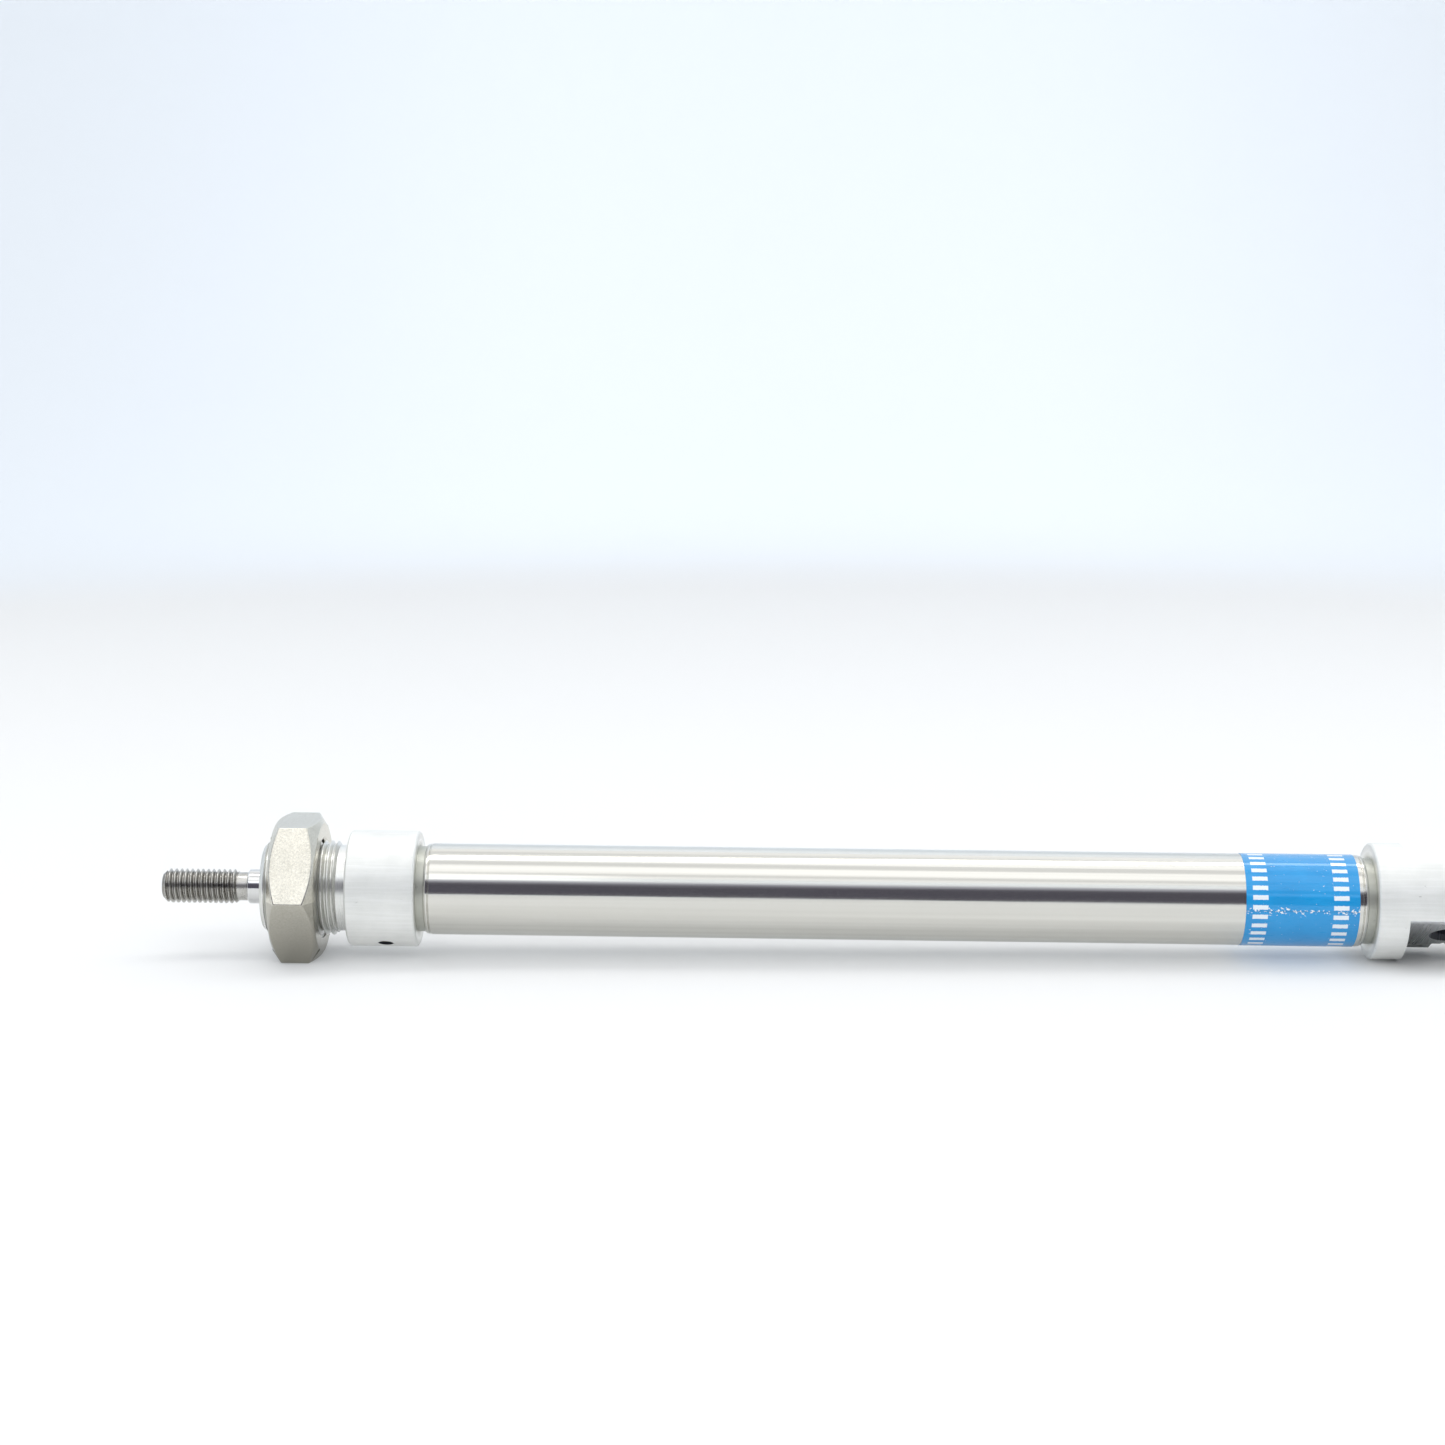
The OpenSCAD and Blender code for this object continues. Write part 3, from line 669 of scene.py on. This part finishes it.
def bearing_cap():
    pocket_x, edge = -11.0, 0.35  # where the seals' pocket ends, and the edge of its mouth
    tip_r, run_out = 9.8, 1.25  # the chamfered end of the neck, and the slope of its thread's end at the relief

    def most(x):
        return np.minimum(tip_r + (x - NECK_END_X), RELIEF_R + (RELIEF_X - x) * run_out)

    neck = thread_run(NECK_END_X, RELIEF_X, THREAD_PITCH, THREAD_ROOT_R, THREAD_R, most=most)
    body = eased([
        (RELIEF_R, RELIEF_X), (RELIEF_R, 0), (CAP_R - CAP_EDGE, 0), (CAP_R, CAP_EDGE),
        (CAP_R, FRONT_FACE_X - CAP_EDGE), (CAP_R - CAP_EDGE, FRONT_FACE_X),
    ] + at_face(SPIGOT_OUTSIDE, FRONT_FACE_X, 1), CORNER_R)
    inside = at_face(SPIGOT_INSIDE, FRONT_FACE_X, 1) + [
        (POCKET_R, pocket_x), (SEAL_POCKET_R, pocket_x), (SEAL_POCKET_R, NECK_END_X + edge),
        (SEAL_POCKET_R + edge, NECK_END_X),
    ]
    cap = turned("bearing_cap_turned", neck + body + inside, closed=True)
    carve(
        cap, port_cutter(PORT_SETBACK), screw_hole_cutter(FRONT_SCREW_X, FRONT_SCREW_ELEVATION),
        bypass_cutter(FRONT_SCREW_X, FRONT_FACE_X + SPIGOT_LEN + 0.5, FRONT_SCREW_ELEVATION),
    )
    dress(cap, "barrel", "bearing_cap", cap_metal)


def end_cap():
    pocket_end_x = REAR_FACE_X + 11
    chamfer = 1.5  # of the eye's end
    far, over = 20, 2  # how far the cutters reach

    def least(x):
        return THREAD_R - (x - REAR_THREAD_X)

    def most(x):
        return THREAD_R - chamfer + (EYE_END_X - x)

    thread = thread_run(REAR_THREAD_X, EYE_END_X, THREAD_PITCH, THREAD_ROOT_R, THREAD_R, least=least, most=most)
    inside = [(0, pocket_end_x), (POCKET_R, pocket_end_x)] + at_face(SPIGOT_INSIDE, REAR_FACE_X, -1)[::-1]
    body = eased(at_face(SPIGOT_OUTSIDE, REAR_FACE_X, -1)[::-1] + [
        (CAP_R - CAP_EDGE, REAR_FACE_X), (CAP_R, REAR_FACE_X + CAP_EDGE), (CAP_R, REAR_SHOULDER_X),
        (THREAD_R, REAR_SHOULDER_X), (THREAD_R, REAR_THREAD_X),
    ], CORNER_R)
    cap = turned("end_cap_turned", inside + body + thread + [(0, EYE_END_X)])
    flats = [
        placed(block("flat", (FLAT_HALF, FLAT_X, -far), (far, EYE_END_X + over, far)), facing(PIN_ELEVATION + side))
        for side in (0, 180)
    ]
    pin = [
        (0, -far), (PIN_R + PIN_SINK + over, -FLAT_HALF - over), (PIN_R, -FLAT_HALF + PIN_SINK),
        (PIN_R, FLAT_HALF - PIN_SINK), (PIN_R + PIN_SINK + over, FLAT_HALF + over), (0, far),
    ]
    pin_hole = placed(turned("pin_hole", pin, around=96), facing(PIN_ELEVATION, PIN_X))
    carve(
        cap, *flats, pin_hole, port_cutter(REAR_SHOULDER_X - PORT_SETBACK),
        screw_hole_cutter(REAR_SCREW_X, REAR_SCREW_ELEVATION),
        bypass_cutter(REAR_FACE_X - SPIGOT_LEN - 0.5, REAR_SCREW_X, REAR_SCREW_ELEVATION),
    )
    dress(cap, "barrel", "end_cap", cap_metal)


# ---------------------------------------------------------------- nut, rod, tube and label
def mounting_nut():
    seat_gap = 0.01  # keeps the nut's face clear of the cap's when it is screwed home
    x0, x1 = NUT_X[0], NUT_X[1] - seat_gap
    corner_r = NUT_HALF / math.cos(math.radians(30))
    face_r, slope, reach = 15.0, 33, corner_r + 0.5  # both faces are round, and slope off towards the corners
    drop = (reach - face_r) * math.tan(math.radians(slope))
    nut = turned("hex_nut", [(0, x0), (corner_r, x0), (corner_r, x1), (0, x1)], around=6)
    outline = [(0, x0), (face_r, x0), (reach, x0 + drop), (reach, x1 - drop), (face_r, x1), (0, x1)]
    carve(nut, turned("rounding", outline, around=180), operation="INTERSECT")
    bore, deep, mouth, over = THREAD_R + 0.04, 0.85, 0.8, 1.0  # the thread's inner radius, its depth and its chamfers

    def least(x):
        return bore + mouth - np.minimum(x - x0, x1 - x)

    thread = thread_run(x0 - over, x1 + over, THREAD_PITCH, bore, bore + deep, least=least)
    carve(nut, turned("nut_bore", [(0, x0 - over)] + thread + [(0, x1 + over)]))
    soften(nut, 0.28, lambda p: math.hypot(p.y, p.z) > CAP_R, least_angle=12, segments=3)
    dress(nut, "nut", "mounting_nut", nut_metal)


def piston_rod():
    stub_x, end_x, stub_r = 198.0, 237.5, 3.0  # the thinner end that carries the piston
    tip_r, edge, end_edge, around = 2.8, 0.3, 0.4, 128

    def most(x):
        return np.minimum(tip_r + (x - ROD_TIP_X), ROD_ROOT_R + (ROD_UNDERCUT_X - x))

    thread = thread_run(ROD_TIP_X, ROD_UNDERCUT_X, ROD_PITCH, ROD_ROOT_R, ROD_R, most=most, around=around)
    shank = eased([
        (ROD_ROOT_R, ROD_UNDERCUT_X), (ROD_ROOT_R, ROD_SHOULDER_X), (ROD_R - edge, ROD_SHOULDER_X),
        (ROD_R, ROD_SHOULDER_X + edge), (ROD_R, stub_x), (stub_r, stub_x), (stub_r, end_x - end_edge),
        (stub_r - end_edge, end_x), (0, end_x),
    ], 0.15)
    rod = turned("threaded_rod", [(0, ROD_TIP_X)] + thread + shank, around=around)
    dress(rod, "rod", "piston_rod", rod_steel())


def cylinder_tube():
    """The tube, with a rolled groove near each end and the very end rolled inwards."""
    x0, x1 = FRONT_FACE_X + NECK_LEN, REAR_FACE_X - NECK_LEN
    groove, half, depth = CRIMP - NECK_LEN + 0.15, 0.3, 0.32  # the rolled groove's middle, half width and depth
    taper, inner_share = 0.09, 0.7  # what is left of the rolled end at the groove, and the groove's depth inside
    dip = [(s * half, depth * math.cos(s * math.pi / 2) ** 2) for s in np.linspace(-1, 1, 13)]
    rolled = [(0.5, 0.0), (0.42, 0.03), (0.36, 0.1), (0.24, 0.3), (0.14, 0.55), (taper, 0.75)]  # depth, distance in
    outer = [(TUBE_R - d, x) for d, x in rolled]
    outer += [(TUBE_R - max(d, -taper * x / half), groove + x) for x, d in dip]
    inner = [(BORE_R, 0.0)] + [(BORE_R - inner_share * d, groove + x) for x, d in dip]
    outline = [(r, x0 + x) for r, x in outer] + [(r, x1 - x) for r, x in outer[::-1]]
    outline += [(r, x1 - x) for r, x in inner] + [(r, x0 + x) for r, x in inner[::-1]]
    tube = turned("polished_tube", outline, closed=True, around=256)
    dress(tube, "barrel", "cylinder_tube", tube_steel(), sharp=50)


def label():
    """A strip of film around the tube, whose last few millimetres lie on its beginning."""
    glue, film = 0.01, 0.1
    lap, ease, corner = 3.0, 1.2, 0.7  # the overlap, the ramp up to it, and the strip's corner radius
    inner_r = TUBE_R + glue
    length = 2 * math.pi * inner_r + lap
    width, middle_x = LABEL_X[1] - LABEL_X[0], sum(LABEL_X) / 2
    start = math.radians(LABEL_SEAM) + lap / inner_r  # the strip runs down from here, and its end is at the seam
    across = 20
    wide = across + 1
    # Distances along the strip, closer together on its ramps and its rounded corners
    stops = np.concatenate([
        np.linspace(0, lap + ease, 26),
        np.linspace(lap + ease, length - lap - ease, 200)[1:],
        np.linspace(length - lap - ease, length - corner, 26)[1:],
        np.linspace(length - corner, length, 9)[1:],
    ])
    bm = bmesh.new()
    rings = []
    for s in stops:
        e = start - s / inner_r
        ramp = min(max((s - (length - lap - ease)) / ease, 0), 1)
        lift = film * ramp * ramp * (3 - 2 * ramp)
        short = max(0.0, corner - min(s, length - s))
        half = width / 2 - (corner - math.sqrt(max(corner ** 2 - short ** 2, 0)))
        ring = []
        for r in (inner_r + lift, inner_r + film + lift):
            for x in middle_x + half * np.linspace(-1, 1, wide):
                ring.append(bm.verts.new(Vector((x, -r * math.cos(e), r * math.sin(e))) * MM))
        rings.append(ring)
    for a, b in zip(rings, rings[1:]):
        for k in range(across):
            bm.faces.new((a[k], a[k + 1], b[k + 1], b[k]))
            bm.faces.new((a[wide + k], b[wide + k], b[wide + k + 1], a[wide + k + 1]))
        for k in (0, across):
            bm.faces.new((a[k], b[k], b[wide + k], a[wide + k]))
    for ring in (rings[0], rings[-1]):
        for k in range(across):
            bm.faces.new((ring[k], ring[wide + k], ring[wide + k + 1], ring[k + 1]))
    bmesh.ops.recalc_face_normals(bm, faces=bm.faces)
    dress(added_from("label_wrap", bm), "barrel", "label", label_film())


bearing_cap()
end_cap()
mounting_nut()
piston_rod()
cylinder_tube()
label()

# ---------------------------------------------------------------- CAD nodes that keep their shape
FINISHES = {
    "rod_wiper": rubber, "rod_seal": rubber, "guide_bush": bronze, "front_tube_oring": rubber,
    "rear_tube_oring": rubber, "front_cushion_seal": rubber, "rear_cushion_seal": rubber, "front_end_pad": pad,
    "rear_end_pad": pad, "front_cushion_screw": brass, "front_screw_oring": rubber, "rear_cushion_screw": brass,
    "rear_screw_oring": rubber, "front_cushion_spear": spear_metal, "rear_cushion_spear": spear_metal,
    "front_piston_half": alloy, "rear_piston_half": alloy, "magnet_ring": ferrite, "piston_oring": rubber,
    "guide_ring": ring_polymer, "front_piston_seal": rubber, "rear_piston_seal": rubber,
}
for name, finish in FINISHES.items():
    nodes[name].data.materials.clear()
    nodes[name].data.materials.append(finish)

# ---------------------------------------------------------------- floor, light and camera
# The cylinder rests on a flat of its nut and on the rear cap, so the floor rises a little towards the rear.
NUT_FOOT = Vector((-7.3 * MM, 0, -NUT_HALF * MM))  # the rear end of the nut's lower flat
CAP_FOOT = Vector((REAR_SHOULDER_X * MM, 0, -CAP_R * MM))
floor_tilt = math.atan2(CAP_FOOT.z - NUT_FOOT.z, CAP_FOOT.x - NUT_FOOT.x)
centre = Vector(((cad_low.x + cad_high.x) / 2, 0, 0))
floor_height = NUT_FOOT.z + (centre.x - NUT_FOOT.x) * math.tan(floor_tilt)


def floor_white():
    """White paper with a faint glow, painted light that lightens its shadows, cooler on the wall. Under the eye,
    whose flats mirror it, the glow is left out as a painted shadow.
    """
    paint = Paint("studio_white", Roughness=0.75, Specular_IOR_Level=0.2)
    x, y, _ = paint.axes()
    wall_part = paint.remap(paint.hypot(x, y), 0.70, 1.0, smooth=True)
    paint.set(Base_Color=paint.blend(wall_part, (0.61, 0.605, 0.595), (0.83, 0.86, 0.89)))
    paint.set(Emission_Color=paint.blend(wall_part, (0.93, 0.965, 1.0), (0.76, 0.86, 1.0)))
    # Painted shadow: no glow on the floor near the axis under the eye.
    eye_x = (0.124, 0.160)  # metres from the floor's centre
    near_axis = paint.remap(paint.distance(y), 0.006, 0.020, 1.0, 0.0, smooth=True)
    painted_shadow_under_eye = paint.times(paint.between(x, *eye_x, 0.014), near_axis)
    # Painted light: the floor glows a little, which lightens its shadows.
    near = paint.mix(painted_shadow_under_eye, 0.21, 0.0)
    far = paint.remap(paint.distance(x), 0.12, 0.55, 0.14, 0.01, smooth=True)
    paint.set(Emission_Strength=paint.mix(wall_part, near, far))
    return paint.material


def studio_floor():
    """A round white floor whose rim curves up into a wall. Its sizes are in metres."""
    flat_r, bend_r, wall, around = 0.85, 0.45, 1.3, 96
    profile = [(flat_r / 2, 0.0), (flat_r, 0.0)]
    profile += [(flat_r + bend_r * math.sin(a), bend_r * (1 - math.cos(a)))
                for a in np.linspace(0, math.pi / 2, 25)[1:]]
    profile += [(flat_r + bend_r, wall)]
    angles = np.linspace(0, 2 * math.pi, around + 1)[:-1]
    bm = bmesh.new()
    rings = [[bm.verts.new((r * math.cos(a), r * math.sin(a), z)) for a in angles] for r, z in profile]
    hub = bm.verts.new((0, 0, 0))
    for j in range(around):
        k = (j + 1) % around
        bm.faces.new((hub, rings[0][j], rings[0][k]))
        for inner, outer in zip(rings, rings[1:]):
            bm.faces.new((inner[j], outer[j], outer[k], inner[k]))
    floor = added_from("studio_floor", bm)
    floor.data.shade_smooth()
    floor.data.materials.append(floor_white())
    floor.location = (centre.x, 0, floor_height)
    floor.rotation_euler = (0, -floor_tilt, 0)


def softbox(name, span, distance, length, radiance, turn=0.0, aside=0.0, mirrored=True, shadow=True):
    """An area light that faces the cylinder. The span is of elevations, measured from the camera's side."""
    width = 2 * distance * math.tan(math.radians(span[1] - span[0]) / 2)
    e = math.radians(sum(span) / 2)
    light = bpy.data.lights.new(name, "AREA")
    light.shape = "RECTANGLE"
    light.size, light.size_y = length, width
    light.energy = radiance * math.pi * length * width
    light.use_shadow = shadow
    lamp = added(name, light)
    out = Vector((0, -math.cos(e), math.sin(e)))
    lamp.location = centre + out * distance + Vector((aside, 0, 0))
    lamp.visible_glossy = mirrored
    side = Matrix.Rotation(math.pi / 2 + math.radians(turn), 4, "Z").to_quaternion()
    lamp.rotation_euler = (out.to_track_quat("Z", "X") @ side).to_euler()


def dark_card():
    """The unlit room behind the camera: a curved dark strip that shows only in reflections."""
    radius = 0.95
    foot, fade, top = 0.0, 25.0, 38.0  # elevations in degrees. From the second upwards it fades into the light room.
    reach, rows, columns = 75, 12, 40  # degrees to each side, and its faces
    bm = bmesh.new()
    grid = []
    for elevation in np.radians(np.linspace(foot, top, rows + 1)):
        grid.append([bm.verts.new((radius * math.sin(a), -radius * math.cos(a), radius * math.tan(elevation)))
                     for a in np.radians(np.linspace(-reach, reach, columns + 1))])
    for below, above in zip(grid, grid[1:]):
        for j in range(columns):
            bm.faces.new((below[j], below[j + 1], above[j + 1], above[j]))
    card = added_from("dark_card", bm)
    card.location = (centre.x, 0, 0)
    paint = Paint("dark_room", Base_Color=(0.0, 0.0, 0.0), Roughness=1.0, Specular_IOR_Level=0.0)
    z = paint.axes()[2]
    from_z, to_z = (radius * math.tan(math.radians(v)) for v in (fade, top))
    paint.set(
        Emission_Color=paint.blend(paint.remap(z, from_z, to_z), (0.80, 0.77, 1.0), (0.88, 0.94, 1.0)),
        Emission_Strength=paint.remap(z, from_z, to_z, 0.13, 0.95, smooth=True),
    )
    card.data.materials.append(paint.material)
    card.visible_camera = card.visible_diffuse = card.visible_shadow = False


def world():
    made = bpy.data.worlds.new("studio")
    bpy.context.scene.world = made
    made.use_nodes = True
    background = made.node_tree.nodes["Background"]
    background.inputs["Color"].default_value = (0.97, 0.98, 1.0, 1.0)
    background.inputs["Strength"].default_value = 1.0


studio_floor()
dark_card()
world()
# The span in degrees, the distance and the length in metres, and the radiance
softbox("front_panel", (36.5, 50), 0.8, 1.5, 0.30)
softbox("top_panel", (57, 77), 0.75, 1.5, 0.50)
softbox("rear_panel", (90, 103), 0.75, 1.5, 0.50)
softbox("back_panel", (122, 150), 0.8, 1.5, 0.22, shadow=False)
softbox("strip", (101.5, 109.5), 0.7, 1.2, 3.8, turn=18)
softbox("left_panel", (36.5, 52), 0.8, 0.7, 0.45, aside=-0.45)
softbox("fill", (30, 52), 1.2, 1.1, 1.8, mirrored=False)

# The camera's place in metres, its turn in degrees and its lens in millimetres, found by matching the photograph
CAMERA_AT = (0.0953, -0.6175, 0.1458)
CAMERA_YAW, CAMERA_PITCH, CAMERA_ROLL = -0.8255, 9.696, 0.55
LENS = 67.53
SENSOR = 36.0


def camera():
    yaw, pitch, roll = (math.radians(v) for v in (CAMERA_YAW, CAMERA_PITCH, CAMERA_ROLL))
    ahead = Vector((math.sin(yaw) * math.cos(pitch), math.cos(yaw) * math.cos(pitch), -math.sin(pitch)))
    level = Vector((math.cos(yaw), -math.sin(yaw), 0))
    up = level.cross(ahead)
    right = level * math.cos(roll) + up * math.sin(roll)
    data = bpy.data.cameras.new("camera")
    data.lens, data.sensor_width = LENS, SENSOR
    data.clip_start, data.clip_end = 0.01, 10
    made = added("camera", data)
    turn = Matrix((right, right.cross(ahead), -ahead)).transposed().to_4x4()
    made.matrix_world = Matrix.Translation(CAMERA_AT) @ turn
    bpy.context.scene.camera = made


camera()
bpy.context.scene.view_settings.view_transform = "Standard"
